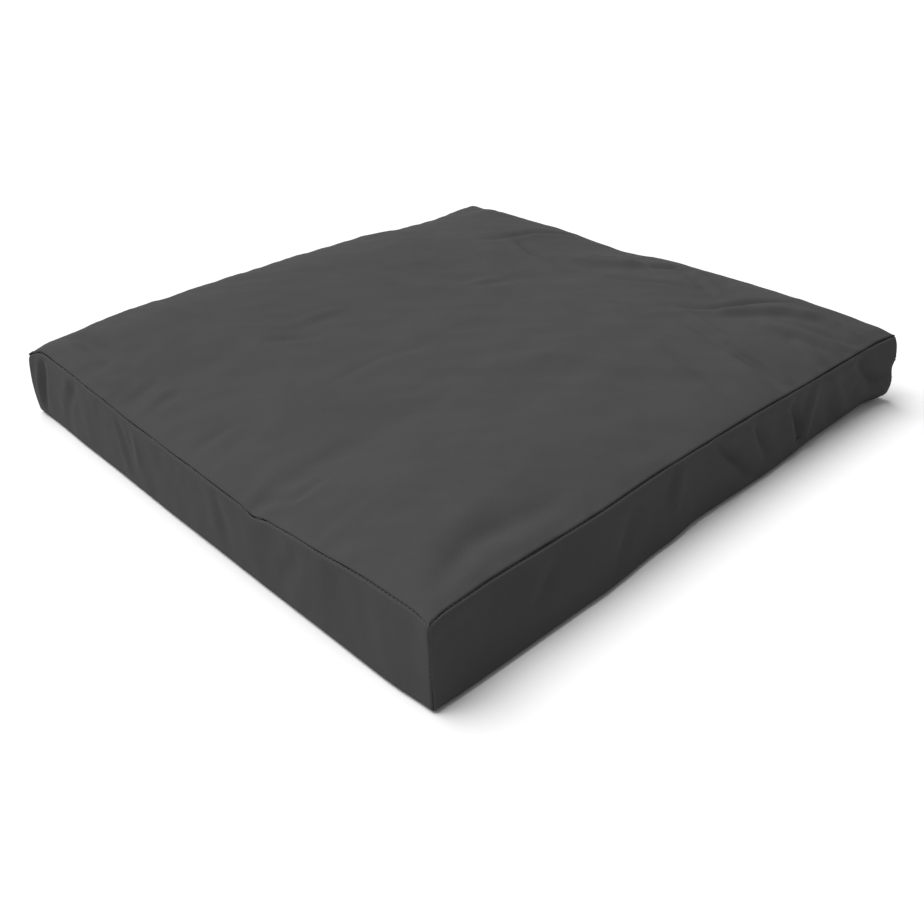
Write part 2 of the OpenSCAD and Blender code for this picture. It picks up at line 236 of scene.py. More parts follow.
# What each point was cut as stays with it: its place on the box and the panels it belongs to.
panel_names = [*walls, "top", "bottom"]
flat = [v.co.copy() for v in cover.data.vertices]
on_side = []
for p in flat:
    beyond = [-p.y - pad_d / 2, p.x - pad_w / 2, p.y - pad_d / 2, -p.x - pad_w / 2, p.z - seam_z, -p.z]
    on_side.append({name for name, distance in zip(panel_names, beyond) if distance > -edge})
laid = cover.data.attributes.new("laid", "FLOAT_VECTOR", "POINT")
for item, p in zip(laid.data, flat):
    item.vector = p
crease = cover.data.attributes.new("crease_edge", "FLOAT", "EDGE")
for line, item in zip(cover.data.edges, crease.data):
    a, b = (on_side[i] for i in line.vertices)
    item.value = 1.0 if len(a & b) > 1 else 0.0
for face in cover.data.polygons:
    shared = set.intersection(*(on_side[i] for i in face.vertices))
    face.material_index = panel_names.index(shared.pop())

for vertex, p, sides in zip(cover.data.vertices, flat, on_side):
    u, v, level = p.x / pad_w + 0.5, p.y / pad_d + 0.5, p.z / seam_z
    shares = [u, v, 1 - u, 1 - v]
    wall = next((w for w in range(4) if walls[w] in sides), None)
    move = panel_offset(u, v, level) if wall is None else sewn_offset(wall, shares[wall], level)
    if sides == {"top"}:
        move.z += crown(p.x, p.y)
    if sides == {"bottom"}:
        move.z = 0
    vertex.co = p + move

# The solver: sewn and zipped cloth is held, and the rest has a little slack, most of it near
# the seams, that light pressure fills out.
slack = 0.035
middle_slack = 0.35
slack_reach = 70 * mm
light_hold = 0.04
solver_frames = 22
most_move = 4 * mm
held_by = cover.vertex_groups.new(name="held")
loose = cover.vertex_groups.new(name="loose")
for i, (p, sides) in enumerate(zip(flat, on_side)):
    fixed = len(sides) > 1 or "bottom" in sides
    if "rear" in sides and abs(p.z - zip_z) < zip_flat:
        fixed = True
    near = smooth(1 - min(pad_w / 2 - abs(p.x), pad_d / 2 - abs(p.y)) / slack_reach)
    held_by.add([i], 1.0 if fixed else light_hold, "REPLACE")
    share = middle_slack + (1 - middle_slack) * near if "top" in sides else 1.0
    loose.add([i], share, "REPLACE")
before = [v.co.copy() for v in cover.data.vertices]
bpy.ops.object.modifier_add(type="CLOTH")
cloth = cover.modifiers["Cloth"]
cloth.settings.quality = 5
cloth.settings.mass = 0.3
cloth.settings.tension_stiffness = 20
cloth.settings.compression_stiffness = 20
cloth.settings.shear_stiffness = 5
cloth.settings.bending_stiffness = 0.05
cloth.settings.air_damping = 1
cloth.settings.vertex_group_mass = "held"
cloth.settings.pin_stiffness = 1
cloth.settings.vertex_group_shrink = "loose"
cloth.settings.shrink_max = -slack
cloth.settings.use_pressure = True
cloth.settings.uniform_pressure_force = 0.15
cloth.settings.effector_weights.gravity = 0
cloth.collision_settings.use_collision = False
for number in range(1, solver_frames + 1):
    bpy.context.scene.frame_set(number)
bpy.ops.object.modifier_apply(modifier="Cloth")
for vertex, start in zip(cover.data.vertices, before):
    move = vertex.co - start
    if move.length > most_move:
        vertex.co = start + move * (most_move / move.length)

bpy.ops.object.modifier_add(type="SUBSURF")
bpy.ops.object.modifier_apply(modifier="Subdivision")

# ---------------------------------------------------------------------------------------
# The creases that use has set into the cloth: long folds inside the rear seam, folds drawn
# in from the right and front seams, puckers along the seams and a ridge over each border's
# upper allowance.
# ---------------------------------------------------------------------------------------
# Each crease is its route in millimetres across the pad, given to the nearest 5 mm,
# its half width and its height; a valley has a negative height.
top_creases = [
    ([(-110, 140), (-100, 180), (-80, 210)], 7, -1.6),
    ([(-85, 150), (-55, 140), (-20, 140)], 6, -1.8),
    ([(-30, 160), (15, 175), (40, 200)], 7, 1.6),
    ([(-20, 175), (40, 190), (80, 205)], 6, -1.6),
    ([(25, 145), (60, 160), (90, 170)], 6, -1.7),
    ([(50, 205), (85, 190), (110, 175)], 5, 1.8),
    ([(100, 130), (120, 150), (135, 180), (155, 205), (195, 215)], 6, -2.0),
    ([(130, 150), (160, 185), (185, 200), (215, 200)], 6, 1.7),
    ([(165, 170), (200, 180), (220, 190)], 5, -1.4),
    ([(165, 155), (215, 170)], 5, 1.2),
    ([(195, 155), (215, 150)], 5, 1.6),
    ([(180, 105), (215, 100)], 6, -1.8),
    ([(100, 130), (160, 115), (215, 110)], 5, 1.5),
    ([(140, 75), (210, 60)], 9, -0.9),
    ([(60, 105), (90, 110)], 5, -1.0),
    ([(25, 75), (55, 75), (85, 80)], 5, -0.7),
    ([(-50, 60), (-40, 85)], 6, 0.9),
    ([(5, -115), (0, -70), (10, -40)], 6, -0.4),
    ([(-90, -85), (-85, -40)], 7, 0.5),
    ([(-80, -110), (-60, -85)], 6, -0.7),
    ([(-205, -125), (-165, -120)], 7, -0.6),
    ([(-215, -205), (-195, -200), (-150, -200)], 10, -1.9),
    ([(-145, -205), (-110, -200)], 7, -1.1),
    ([(-75, -215), (-80, -190)], 6, 0.6),
    ([(-90, -215), (-95, -195)], 5, -0.5),
    ([(70, -215), (90, -205), (90, -185)], 5, -0.9),
    ([(-5, -215), (-5, -190)], 6, -0.6),
    ([(210, -205), (200, -170), (205, -110)], 10, -1.1),
    ([(185, -190), (180, -130)], 12, 0.5),
    ([(40, -60), (90, 10), (150, 40)], 14, 0.8),
    ([(-140, 20), (-60, 60), (0, 120)], 14, -0.8),
    ([(-150, 120), (-60, 100)], 12, 0.8),
]
right_folds = [
    ([(185, 45), (205, 20)], 7, -2.4),
    ([(150, 45), (170, 10)], 7, 1.8),
    ([(105, 40), (115, 10)], 6, -2.8),
    ([(130, 40), (120, 10)], 6, 1.4),
    ([(60, 45), (75, 15)], 6, -2.0),
    ([(20, 45), (50, 15)], 6, -2.4),
    ([(-15, 45), (-25, 20)], 6, 1.2),
    ([(-60, 40), (-85, 10)], 9, -0.9),
    ([(-130, 40), (-150, 20)], 8, -0.9),
]
front_folds = [
    ([(-205, 45), (-210, 10)], 4, -3.5),
    ([(-155, 45), (-170, 25)], 6, -1.7),
    ([(-90, 45), (-75, 10)], 5, -1.6),
    ([(-70, 45), (-65, 20)], 5, 1.2),
    ([(35, 40), (45, 15)], 7, -0.9),
    ([(120, 40), (95, 10)], 9, -0.9),
    ([(180, 40), (195, 10)], 8, 0.7),
]
left_folds = [
    ([(-150, 45), (-130, 10)], 8, -1.4),
    ([(-20, 45), (-45, 10)], 9, 1.2),
    ([(70, 40), (95, 10)], 8, -1.5),
    ([(195, 40), (180, 15)], 7, -1.4),
]
# What every half width is multiplied by, and every height on the top and on each border.
crispness = 0.72
crease_depth = 2.2
fold_depth = [0.8, 1.8, 1, 1.2]
folds = {"front": front_folds, "right": right_folds, "rear": [], "left": left_folds}
# A crease is a ridge with a shallower hollow beside it, and both fade towards its ends.
hollow_share = 0.55
hollow_away = 1.7
hollow_width = 1.3

# The unevenness of the top: the size of each lump, how far it is drawn out along the pad's
# depth, its height and its seed, in millimetres.
top_lumps = [(70, 1, 1.6, 1.5), (30, 0.6, 0.8, 4.5), (14, 1, 0.35, 8.5)]
ridge_h = 0.9
pucker_h = 1.8
pucker_reach = 34 * mm
allowance_ridge_h = 0.5
allowance_ridge_down = 7 * mm


def crease_height(creases, x, y):
    """The height in millimetres that a list of creases gives at a place."""
    height = 0
    for route, width, tall in creases:
        width *= crispness
        reach = 4 * width
        xs = [p[0] for p in route]
        ys = [p[1] for p in route]
        if not (min(xs) - reach < x < max(xs) + reach and min(ys) - reach < y < max(ys) + reach):
            continue
        best = None
        for i, ((ax, ay), (bx, by)) in enumerate(zip(route, route[1:])):
            dx, dy = bx - ax, by - ay
            k = min(1, max(0, ((x - ax) * dx + (y - ay) * dy) / (dx * dx + dy * dy)))
            away = math.hypot(x - ax - k * dx, y - ay - k * dy)
            side = 1 if (x - ax) * dy - (y - ay) * dx > 0 else -1
            if best is None or away < best[0]:
                best = (away, side, (i + k) / (len(route) - 1))
        away, side, along = best
        taper = math.sin(math.pi * (0.15 + 0.7 * along))
        ridge = math.exp(-(away / width) ** 2)
        hollow = math.exp(-((side * away - hollow_away * width) / (hollow_width * width)) ** 2)
        height += tall * taper * (ridge - hollow_share * hollow)
    return height


def lumps(x, y, size, seed):
    """Smooth random lumps of about the given size, all in metres, between -1 and 1."""
    return noise.noise(Vector((x / size, y / size, seed)))


def puckers(along, distance, seed):
    """The short gathers that stand off a seam, as a height in millimetres."""
    wave = lumps(along, 0.35 * distance, 13 * mm, seed)
    wave += 0.5 * lumps(along, 0.5 * distance, 6.5 * mm, seed + 9)
    strength = 0.55 + 0.45 * lumps(along, 0, 80 * mm, seed + 5)
    return pucker_h * wave * strength * smooth(distance / (5 * mm)) * math.exp(-distance / pucker_reach)


def top_relief(x, y, from_side):
    """The relief of the top panel in millimetres: creases, lumps, slanting ridges and puckers."""
    height = crease_depth * crease_height(top_creases, x / mm, y / mm)
    for size, drawn_out, tall, seed in top_lumps:
        height += tall * lumps(x, drawn_out * y, size * mm, seed)
    along, across = 0.3 * (x + y), y - x
    slanting = lumps(along, across, 30 * mm, 11.5) + 0.4 * lumps(along, across, 14 * mm, 13.5)
    height += ridge_h * (0.3 - abs(slanting))
    height *= smooth(min(from_side) / (9 * mm))
    return height + sum(puckers((x, y, -x, -y)[w], from_side[w], 20 + w) for w in range(4))


def border_relief(wall, x, y, z):
    """The relief of a border in millimetres, which fades out at its seams, corners and zip."""
    along = (x, y, -x, -y)[wall]
    height = fold_depth[wall] * crease_height(folds[walls[wall]], (y if wall % 2 else x) / mm, z / mm)
    height += 0.7 * lumps(along, z, 40 * mm, 30 + wall) + 0.3 * lumps(along, z, 16 * mm, 40 + wall)
    height += 0.55 * puckers(along, seam_z - z, 50 + wall) + 0.45 * puckers(along, z, 60 + wall)
    height *= smooth(min(z, seam_z - z, pad_w / 2 - abs(along)) / (7 * mm))
    height += allowance_ridge_h * math.exp(-((seam_z - z - allowance_ridge_down) / (3 * mm)) ** 2)
    if walls[wall] == "rear":
        height *= smooth((abs(z - zip_z) - zip_flat) / (5 * mm))
    return height


place = cover.data.attributes["laid"].data
normals = [v.normal.copy() for v in cover.data.vertices]
for vertex, item, normal in zip(cover.data.vertices, place, normals):
    x, y, z = item.vector
    from_side = [y + pad_d / 2, pad_w / 2 - x, pad_d / 2 - y, x + pad_w / 2]
    on = [w for w in range(4) if from_side[w] < edge]
    if z > seam_z - edge and not on:
        vertex.co += normal * top_relief(x, y, from_side) * mm
    elif z < edge and not on:
        hollow_h = 0.5 * max(0, lumps(x, y, 60 * mm, 2.5))
        vertex.co.z += hollow_h * smooth(min(from_side) / (12 * mm)) * mm
    elif len(on) == 1 and edge < z < seam_z - edge:
        vertex.co += normal * border_relief(on[0], x, y, z) * mm

# ---------------------------------------------------------------------------------------
# The cover's nine panels of charcoal polyester, cut out of the skin. Every edge rolls over
# into its seam and carries its allowance inside; the edges at the zip are folded flat back.
# ---------------------------------------------------------------------------------------
allowance = 9
corner_allowance = 7
# What is cut beyond the finished size: at the long seams, at the corners and at the zip.
cut_origin = Vector((0.25, 0.25))
zip_half_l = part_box("rear_border_upper")[1].x
slot_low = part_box("rear_border_lower")[1].z
slot_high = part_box("rear_border_upper")[0].z
sheet_t = 0.7 * mm

# The outline of a turned edge, in millimetres in from the seam and out from the cloth.
roll = [(2.3, 0), (1.5, -0.2), (1.1, -0.75), (1.3, -1.5)]
under = [*roll, (2.1, -2.8), (2.3, -allowance)]
back = [*roll, (2.8, -2.1), (allowance, -2.3)]
corner_under = [*roll, (2.1, -2.8), (2.3, -corner_allowance)]
corner_back = [*roll, (2.8, -2.1), (corner_allowance, -2.3)]
folded = [(0.9, 0), (0.3, -0.15), (0, -0.7), (0.3, -1.4), (1.0, -1.6), (allowance, -1.6)]
butted = [(0.5, 0), (0.2, -0.1), (0.02, -0.4), (0.02, -0.75), (0.05, -1.6), (0.05, -corner_allowance)]


def pick(piece):
    """Selects one piece alone and makes it the active one."""
    bpy.ops.object.select_all(action="DESELECT")
    piece.select_set(True)
    bpy.context.view_layer.objects.active = piece


def facing(direction):
    """The axis that a direction lies closest to, as +x, -x, +y, -y, +z or -z."""
    axis = max(range(3), key=lambda i: abs(direction[i]))
    return ("+" if direction[axis] > 0 else "-") + "xyz"[axis]


def turn_edges(work, profiles, across, upright):
    """Rolls every open edge of a panel over and adds its allowance, and writes the cut's own UVs."""
    work.normal_update()
    as_cut = work.verts.layers.float_vector["laid"]
    pulls = {}
    rim = [e for e in work.edges if e.is_boundary]
    for line in rim:
        middle = (line.verts[0].co + line.verts[1].co) / 2
        along = (line.verts[1].co - line.verts[0].co).normalized()
        inward = line.link_faces[0].calc_center_median() - middle
        inward = (inward - along * inward.dot(along)).normalized()
        corners = line.link_faces[0].verts
        flat_inward = sum((v[as_cut] for v in corners), Vector()) / len(corners)
        flat_inward -= (line.verts[0][as_cut] + line.verts[1][as_cut]) / 2
        for vertex in line.verts:
            pulls.setdefault(vertex, {}).setdefault(facing(flat_inward), []).append(inward)
    cut = {v: Vector((v.co[across], v.co[upright])) for v in work.verts}
    rings = {}
    for vertex, sides in pulls.items():
        seam_point, normal = vertex.co.copy(), vertex.normal.copy()
        inwards = {side: sum(found, Vector()).normalized() for side, found in sides.items()}
        rings[vertex] = [vertex]
        steps = len(roll) + 2
        for step in range(steps):
            spot = seam_point.copy()
            flat_spot = cut[vertex].copy() if step == 0 else cut[rings[vertex][0]].copy()
            for side, inward in inwards.items():
                profile = profiles[side]
                spot += inward * profile[step][0] * mm
                spot += normal * profile[step][1] * mm / len(inwards)
                length = sum(math.dist(a, b) for a, b in zip(profile[:step], profile[1:step + 1]))
                flat_inward = Vector((inward[across], inward[upright]))
                flat_spot += flat_inward * (profile[0][0] if step == 0 else -length) * mm
            if step == 0:
                vertex.co = spot
                cut[vertex] = flat_spot
            else:
                added = work.verts.new(spot)
                rings[vertex].append(added)
                cut[added] = flat_spot
    for line in rim:
        loop = line.link_loops[0]
        a, b = loop.vert, loop.link_loop_next.vert
        for step in range(len(roll) + 1):
            work.faces.new((rings[b][step], rings[a][step], rings[a][step + 1], rings[b][step + 1]))
    uv = work.loops.layers.uv.new("cut")
    for face in work.faces:
        face.material_index = 0
        for loop in face.loops:
            loop[uv].uv = cut[loop.vert] + cut_origin


def sew_panel(name, side, profiles, trims, node):
    work = bmesh.new()
    work.from_mesh(cover.data)
    number = panel_names.index(side)
    others = [f for f in work.faces if f.material_index != number]
    bmesh.ops.delete(work, geom=others, context="FACES")
    for spot, away in trims:
        everything = [*work.verts, *work.edges, *work.faces]
        bmesh.ops.bisect_plane(
            work, geom=everything, dist=edge, plane_co=spot, plane_no=away, clear_outer=True,
        )
    across, upright = (0, 1) if side in ("top", "bottom") else (walls.index(side) % 2, 2)
    turn_edges(work, profiles, across, upright)
    mesh = bpy.data.meshes.new(name)
    work.to_mesh(mesh)
    work.free()
    piece = bpy.data.objects.new(name, mesh)
    bpy.context.collection.objects.link(piece)
    pick(piece)
    bpy.ops.object.modifier_add(type="SOLIDIFY")
    piece.modifiers["Solidify"].thickness = sheet_t
    piece.modifiers["Solidify"].offset = -1
    bpy.ops.object.modifier_apply(modifier="Solidify")
    bpy.ops.object.shade_smooth_by_angle(angle=math.radians(70))
    piece.data.materials.append(cover_cloth)
    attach(piece, "pad")
    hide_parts(node)
    return piece


def vary_roughness(finish, pattern, middle, spread):
    """Lets a pattern carry a finish's roughness a little above and below its middle."""
    gloss = finish.node_tree.nodes.new("ShaderNodeMapRange")
    gloss.inputs["To Min"].default_value = middle - spread
    gloss.inputs["To Max"].default_value = middle + spread
    finish.node_tree.links.new(pattern, gloss.inputs["Value"])
    shader = finish.node_tree.nodes["Principled BSDF"]
    finish.node_tree.links.new(gloss.outputs["Result"], shader.inputs["Roughness"])


def emboss(finish, pattern, strength, depth):
    """Raises a finish's surface where a pattern is high."""
    bump = finish.node_tree.nodes.new("ShaderNodeBump")
    bump.inputs["Strength"].default_value = strength
    bump.inputs["Distance"].default_value = depth
    finish.node_tree.links.new(pattern, bump.inputs["Height"])
    shader = finish.node_tree.nodes["Principled BSDF"]
    finish.node_tree.links.new(bump.outputs["Normal"], shader.inputs["Normal"])


def woven(name, colour, pitch, roughness, weave_depth, sheen, mottle=0.10):
    """A plain weave: threads over and under on the piece's own cut UVs, with a soft mottle."""
    cloth = bpy.data.materials.new(name)
    cloth.use_nodes = True
    nodes = cloth.node_tree.nodes
    link = cloth.node_tree.links.new
    shader = nodes["Principled BSDF"]
    shader.inputs["Sheen Weight"].default_value = sheen
    shader.inputs["Sheen Roughness"].default_value = 0.45
    shader.inputs["Specular IOR Level"].default_value = 0.12
    uv = nodes.new("ShaderNodeUVMap")
    uv.uv_map = "cut"
    split = nodes.new("ShaderNodeSeparateXYZ")
    link(uv.outputs["UV"], split.inputs["Vector"])
    waves = []
    for axis in ("X", "Y"):
        turn = nodes.new("ShaderNodeMath")
        turn.operation = "MULTIPLY"
        turn.inputs[1].default_value = math.pi / pitch
        link(split.outputs[axis], turn.inputs[0])
        wave = nodes.new("ShaderNodeMath")
        wave.operation = "SINE"
        link(turn.outputs[0], wave.inputs[0])
        waves.append(wave)
    crossing = nodes.new("ShaderNodeMath")
    crossing.operation = "MULTIPLY"
    link(waves[0].outputs[0], crossing.inputs[0])
    link(waves[1].outputs[0], crossing.inputs[1])
    coordinates = nodes.new("ShaderNodeTexCoord")
    blotches = nodes.new("ShaderNodeTexNoise")
    blotches.inputs["Scale"].default_value = 28
    blotches.inputs["Detail"].default_value = 5
    link(coordinates.outputs["Object"], blotches.inputs["Vector"])
    slubs = nodes.new("ShaderNodeTexNoise")
    slubs.inputs["Scale"].default_value = 900
    slubs.inputs["Detail"].default_value = 2
    link(coordinates.outputs["Object"], slubs.inputs["Vector"])
    tone = nodes.new("ShaderNodeMath")
    tone.operation = "MULTIPLY_ADD"
    tone.inputs[1].default_value = 0.6
    link(slubs.outputs["Fac"], tone.inputs[0])
    link(blotches.outputs["Fac"], tone.inputs[2])
    shade = nodes.new("ShaderNodeMapRange")
    shade.inputs["From Min"].default_value = 0.4
    shade.inputs["From Max"].default_value = 1.2
    shade.inputs["To Min"].default_value = 1 - mottle
    shade.inputs["To Max"].default_value = 1 + mottle
    link(tone.outputs[0], shade.inputs["Value"])
    thread_tone = nodes.new("ShaderNodeMath")
    thread_tone.operation = "MULTIPLY_ADD"
    thread_tone.inputs[1].default_value = 0.08
    link(crossing.outputs[0], thread_tone.inputs[0])
    link(shade.outputs["Result"], thread_tone.inputs[2])
    paint = nodes.new("ShaderNodeVectorMath")
    paint.operation = "SCALE"
    paint.inputs[0].default_value = colour
    link(thread_tone.outputs[0], paint.inputs["Scale"])
    link(paint.outputs["Vector"], shader.inputs["Base Color"])
    vary_roughness(cloth, blotches.outputs["Fac"], roughness, 0.06)
    height = nodes.new("ShaderNodeMath")
    height.operation = "MULTIPLY_ADD"
    height.inputs[1].default_value = 0.5
    link(slubs.outputs["Fac"], height.inputs[0])
    link(crossing.outputs[0], height.inputs[2])
    emboss(cloth, height.outputs[0], 0.6, weave_depth)
    return cloth


cover_cloth = woven("charcoal_polyester", (0.047, 0.047, 0.048), 0.45 * mm, 0.88, 0.06 * mm, 0.03)

top_profiles = {key: under for key in ("+x", "-x", "+y", "-y")}
border_profiles = {"+z": back, "-z": back, "+x": corner_under, "-x": corner_under,
                   "+y": corner_back, "-y": corner_back}
cover_top = sew_panel("cover_top", "top", top_profiles, [], "top_panel")
sew_panel("cover_base", "bottom", top_profiles, [], "bottom_panel")
borders = {}
for side in ("front", "right", "left"):
    node = side + "_border"
    borders[side] = sew_panel("cover_" + side, side, border_profiles, [], node)

right_end = Vector((zip_half_l, 0, 0))
to_right, to_left = Vector((1, 0, 0)), Vector((-1, 0, 0))
ends = [(right_end, to_right), (-right_end, to_left)]
strip_ends = {"+x": butted, "-x": butted}
sew_panel("cover_rear_upper", "rear", {"-z": back, "+z": folded, **strip_ends},
          [*ends, (Vector((0, 0, slot_high)), -up)], "rear_border_upper")
sew_panel("cover_rear_lower", "rear", {"+z": back, "-z": folded, **strip_ends},
          [*ends, (Vector((0, 0, slot_low)), up)], "rear_border_lower")
sew_panel("cover_rear_end_right", "rear", {"+z": back, "-z": back, "+x": butted, "-x": corner_under},
          [(right_end, to_left)], "rear_end_panel_right")
sew_panel("cover_rear_end_left", "rear", {"+z": back, "-z": back, "-x": butted, "+x": corner_under},
          [(-right_end, to_right)], "rear_end_panel_left")
bpy.data.objects.remove(cover)

# ---------------------------------------------------------------------------------------
# The filling: a block of cut polyurethane foam with a loose batt of polyester wadding under
# it and a thicker one over it, which gives the pad its crown.
# ---------------------------------------------------------------------------------------
def spongy(name, colour, grain, depth, fuzz):
    """Open cells or bonded fibres: pits of the given grain over a pale, slightly uneven colour."""
    filling = bpy.data.materials.new(name)
    filling.use_nodes = True
    nodes = filling.node_tree.nodes
    link = filling.node_tree.links.new
    shader = nodes["Principled BSDF"]
    shader.inputs["Roughness"].default_value = 0.95
    shader.inputs["Sheen Weight"].default_value = fuzz
    shader.inputs["Specular IOR Level"].default_value = 0.2
    coordinates = nodes.new("ShaderNodeTexCoord")
    cells_seen = nodes.new("ShaderNodeTexVoronoi")
    cells_seen.inputs["Scale"].default_value = 1 / grain
    link(coordinates.outputs["Object"], cells_seen.inputs["Vector"])
    haze = nodes.new("ShaderNodeTexNoise")
    haze.inputs["Scale"].default_value = 40
    haze.inputs["Detail"].default_value = 6
    link(coordinates.outputs["Object"], haze.inputs["Vector"])
    ramp = nodes.new("ShaderNodeMix")
    ramp.data_type = "RGBA"
    ramp.inputs["A"].default_value = (*[c * 0.82 for c in colour], 1)
    ramp.inputs["B"].default_value = (*colour, 1)
    link(haze.outputs["Fac"], ramp.inputs["Factor"])
    link(ramp.outputs["Result"], shader.inputs["Base Color"])
    emboss(filling, cells_seen.outputs["Distance"], 0.7, depth)
    return filling


block_levels = 6


def filling_block(name, node, detail, rounding, lump, top_of):
    """A soft block in a CAD solid's space, with rounded edges and a slightly uneven face."""
    low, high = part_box(node)
    middle = (low + high) / 2
    bpy.ops.object.select_all(action="DESELECT")
    bpy.ops.mesh.primitive_grid_add(x_subdivisions=detail, y_subdivisions=detail, size=1)
    bpy.ops.object.mode_set(mode="EDIT")
    bpy.ops.transform.resize(value=(high.x - low.x, high.y - low.y, 1))
    bpy.ops.mesh.extrude_region_move(TRANSFORM_OT_translate={"value": (0, 0, 1)})
    bpy.ops.mesh.select_all(action="SELECT")
    bpy.ops.mesh.remove_doubles(threshold=edge)
    bpy.ops.mesh.normals_make_consistent(inside=False)
    bpy.ops.mesh.select_all(action="DESELECT")
    bpy.ops.object.mode_set(mode="OBJECT")
    piece = bpy.context.object
    piece.name = name
    work = bmesh.new()
    work.from_mesh(piece.data)
    upright = [e for e in work.edges if abs(e.verts[0].co.z - e.verts[1].co.z) > 0.5]
    bmesh.ops.subdivide_edges(work, edges=upright, cuts=block_levels - 1, use_grid_fill=True)
    work.to_mesh(piece.data)
    work.free()
    for vertex in piece.data.vertices:
        x, y, level = vertex.co
        x += middle.x
        y += middle.y
        height = (low.z + level * (high.z - low.z)) / seam_z
        drawn_in = panel_offset(x / pad_w + 0.5, y / pad_d + 0.5, height)
        ceiling = top_of(x + drawn_in.x, y + drawn_in.y)
        z = low.z + level * (ceiling - low.z)
        inset = min((high.x - low.x) / 2 - abs(x), (high.y - low.y) / 2 - abs(y))
        half = (ceiling - low.z) / 2
        curve = min(rounding, half)
        near = min(1, max(0, 1 - inset / curve))
        if level > 0.5:
            z = min(z, ceiling - curve * (1 - math.sqrt(1 - near * near)))
        else:
            z = max(z, low.z + curve * (1 - math.sqrt(1 - near * near)))
        away = Vector((x, y, z)) * 25
        vertex.co = Vector((x + drawn_in.x, y + drawn_in.y, z))
        vertex.co -= vertex.normal * lump * (0.5 + 0.5 * noise.noise(away))
    bpy.ops.object.shade_smooth()
    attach(piece, "pad")
    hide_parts(node)
    return piece


foam_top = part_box("foam_core")[1].z
cut_foam = spongy("cut_foam", (0.78, 0.72, 0.56), 1.1 * mm, 0.25 * mm, 0.1)
foam = filling_block("pad_foam", "foam_core", 80, 3 * mm, 0.6 * mm, lambda x, y: foam_top)
foam.data.materials.append(cut_foam)

bonded_fibre = spongy("bonded_fibre", (0.88, 0.88, 0.85), 2.4 * mm, 0.5 * mm, 0.4)
cover_gap = 2 * mm
thinnest_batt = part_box("wadding_top")[0].z + 2 * mm
base_batt_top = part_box("wadding_bottom")[1].z


def under_cover(x, y):
    """The height of the wadding's upper face: just under the cover's top panel."""
    found, spot, _, _ = cover_top.ray_cast(Vector((x, y, 0.2)), -up)
    return max(spot.z - sheet_t - cover_gap, thinnest_batt) if found else thinnest_batt


batt = filling_block("pad_wadding_base", "wadding_bottom", 60, 2 * mm, 0.3 * mm, lambda x, y: base_batt_top)
crown_batt = filling_block("pad_wadding_top", "wadding_top", 100, 5 * mm, 0.4 * mm, under_cover)
for piece in (batt, crown_batt):
    piece.data.materials.append(bonded_fibre)

# ---------------------------------------------------------------------------------------
# The sewing thread: black spun polyester down the groove of every seam, which waves a little
# from side to side with each stitch. Round the pad it is one closed run at each level.
# ---------------------------------------------------------------------------------------
thread_r = 0.25 * mm
seam_pitch = 3 * mm
seam_depth = 1.25 * mm
sway_h = 0.2 * mm
bends = 6
corner_start = 0.24
corner_run = 26 * mm
corner_points = [(-1, -1), (1, -1), (1, 1), (-1, 1)]


def spun(name, colour, twist, roughness):
    """Twisted fibre: fine slanting ribs over a dark colour."""
    yarn = bpy.data.materials.new(name)
    yarn.use_nodes = True
    nodes = yarn.node_tree.nodes
    link = yarn.node_tree.links.new
    shader = nodes["Principled BSDF"]
    shader.inputs["Base Color"].default_value = (*colour, 1)
    shader.inputs["Sheen Weight"].default_value = 0.3
    coordinates = nodes.new("ShaderNodeTexCoord")
    ribs = nodes.new("ShaderNodeTexWave")
    ribs.bands_direction = "DIAGONAL"
    ribs.inputs["Scale"].default_value = 1 / twist
    ribs.inputs["Distortion"].default_value = 1.5
    link(coordinates.outputs["Object"], ribs.inputs["Vector"])
    vary_roughness(yarn, ribs.outputs["Fac"], roughness, 0.08)
    emboss(yarn, ribs.outputs["Fac"], 0.6, 0.06 * mm)
    return yarn


def drawn(name, runs, radius, closed):
    """Round wire or thread of one radius along a list of runs of points, as a mesh."""
    route = bpy.data.curves.new(name, "CURVE")
    route.dimensions = "3D"
    route.bevel_depth = radius
    route.bevel_resolution = 1
    route.use_fill_caps = True
    for points in runs:
        spline = route.splines.new("POLY")
        spline.points.add(len(points) - 1)
        for item, spot in zip(spline.points, points):
            item.co = (*spot, 1)
        spline.use_cyclic_u = closed
    piece = bpy.data.objects.new(name, route)
    bpy.context.collection.objects.link(piece)
    pick(piece)
    bpy.ops.object.convert(target="MESH")
    bpy.ops.object.shade_smooth()
    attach(piece, "pad")
    return piece


def seam_place(wall, share, level):
    """A point on the sewn pad's edge, a share of the way along a wall, at the level given."""
    start, stop = corner_points[wall], corner_points[(wall + 1) % 4]
    x, y = (a + share * (b - a) for a, b in zip(start, stop))
    straight = Vector((x * pad_w / 2, y * pad_d / 2, level * seam_z))
    return straight + sewn_offset(wall, share, level)


def round_the_pad(level):
    """The thread round the whole pad, at the bottom or the top seam."""
    points = []
    stitches = round(pad_w / seam_pitch)
    inside = up if level == 0 else -up
    for wall in range(4):
        for i in range(stitches * bends):
            share = i / (stitches * bends)
            sway = sway_h * math.sin(2 * math.pi * i / bends)
            spot = seam_place(wall, share, level)
            spot += (inside - outwards[wall]) * (seam_depth + sway)
            if i < bends:
                spot += (-outwards[wall - 1]) * seam_depth * (1 - i / bends)
            if i > (stitches - 1) * bends:
                spot += (-outwards[(wall + 1) % 4]) * seam_depth * (i / bends - stitches + 1)
            points.append(spot)
    return points


def down_the_corner(wall):
    """The thread down one corner, where a wall meets the one to its right."""
    points = []
    stitches = round(corner_run / seam_pitch)
    for i in range(stitches * bends + 1):
        level = corner_start + corner_run / seam_z * i / (stitches * bends)
        sway = sway_h * math.sin(2 * math.pi * i / bends)
        inside = -outwards[wall] - outwards[(wall + 1) % 4]
        points.append(seam_place(wall, 1, level) + inside * (seam_depth + sway))
    return points


